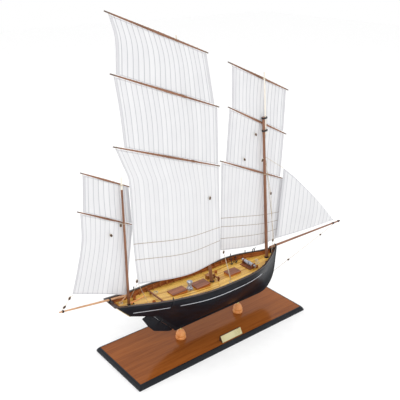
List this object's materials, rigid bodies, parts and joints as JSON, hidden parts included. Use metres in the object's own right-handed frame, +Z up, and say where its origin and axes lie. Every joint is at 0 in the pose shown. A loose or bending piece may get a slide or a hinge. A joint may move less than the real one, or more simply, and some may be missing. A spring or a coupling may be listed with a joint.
{
  "type": "model sailing ship",
  "caption": "Display model of a three-masted lug-rigged fishing lugger with full sails, standing on turned pedestals on a moulded wooden base.",
  "frame": {"origin": "centre of the underside of the base", "axes": "+X to the bow, +Y to port, +Z up"},
  "size_m": [0.8504, 0.179, 0.7561],
  "materials": {
    "spar_wood": "satin varnish",
    "sailcloth": "fine woven cotton",
    "pale_wood": "satin varnish",
    "white_pole": "painted satin",
    "stand_wood": "gloss lacquer",
    "black_paint": "satin black paint",
    "turned_wood": "gloss varnish",
    "brass": "polished",
    "dark_wood": "dark stained",
    "white_paint": "painted line",
    "inner_wood": "bare plywood",
    "deck_wood": "satin varnish",
    "rail_wood": "satin varnish",
    "hatch_wood": "satin stain",
    "cast_metal": "bare cast",
    "dark_iron": "blackened",
    "rope": "laid thread",
    "block_wood": "oiled walnut"
  },
  "bodies": {
    "root": {"anchors": "dark_iron", "base_board": "stand_wood", "base_mouldings": "black_paint", "blocks": "block_wood", "boomkin": "pale_wood", "bowsprit": "spar_wood", "bulkheads": "inner_wood", "cap_rail": "black_paint", "capstan_base": "dark_wood", "deck": "deck_wood", "fore_lug_yard": "spar_wood", "fore_lugsail": "sailcloth", "fore_topgallant": "sailcloth", "fore_topgallant_yard": "spar_wood", "fore_topmast": "white_pole", "fore_topsail": "sailcloth", "fore_topsail_yard": "spar_wood", "foremast": "spar_wood", "gudgeons": "dark_iron", "hatch_coamings": "rail_wood", "hatch_covers": "hatch_wood", "hull_shell": "black_paint", "jib": "sailcloth", "keel_assembly": "black_paint", "keel_spine": "inner_wood", "main_lug_yard": "spar_wood", "main_lugsail": "sailcloth", "main_topgallant": "sailcloth", "main_topgallant_yard": "spar_wood", "main_topmast": "white_pole", "main_topsail": "sailcloth", "main_topsail_yard": "spar_wood", "mainmast": "spar_wood", "mast_bitts": "dark_wood", "mast_collars": "pale_wood", "mizzen_lug_yard": "spar_wood", "mizzen_lugsail": "sailcloth", "mizzen_topsail": "sailcloth", "mizzen_topsail_yard": "spar_wood", "mizzenmast": "spar_wood", "name_plate": "brass", "parrels": "dark_iron", "pedestal_screws": "brass", "plate_block": "dark_wood", "rail_pins": "dark_wood", "rope_coils": "rope", "running_rigging": "rope", "sheer_stripe": "white_paint", "side_timbers": "black_paint", "spar_irons": "dark_iron", "stanchions": "rail_wood", "stand_pedestals": "turned_wood", "standing_rigging": "rope", "transom": "black_paint", "transom_mouldings": "pale_wood", "windlass_bitts": "hatch_wood"},
    "rudder": {"rudder": "black_paint", "tiller": "rail_wood"},
    "capstan": {"capstan_drum": "cast_metal"},
    "windlass": {"windlass_barrel": "cast_metal"}
  },
  "joints": [
    {"name": "rudder_swing", "type": "hinge", "parent": "root", "child": "rudder", "pos_m": [-0.09439, 0, 0.0367], "axis": [-0.6832, 0, 0.7303], "range_deg": [-35, 35]},
    {"name": "capstan_spin", "type": "hinge", "parent": "root", "child": "capstan", "pos_m": [-0.048, 0, 0.13], "axis": [0, 0, 1], "continuous": true},
    {"name": "windlass_spin", "type": "hinge", "parent": "root", "child": "windlass", "pos_m": [0.137, 0, 0.13705], "axis": [0, 1, 0], "continuous": true}
  ]
}
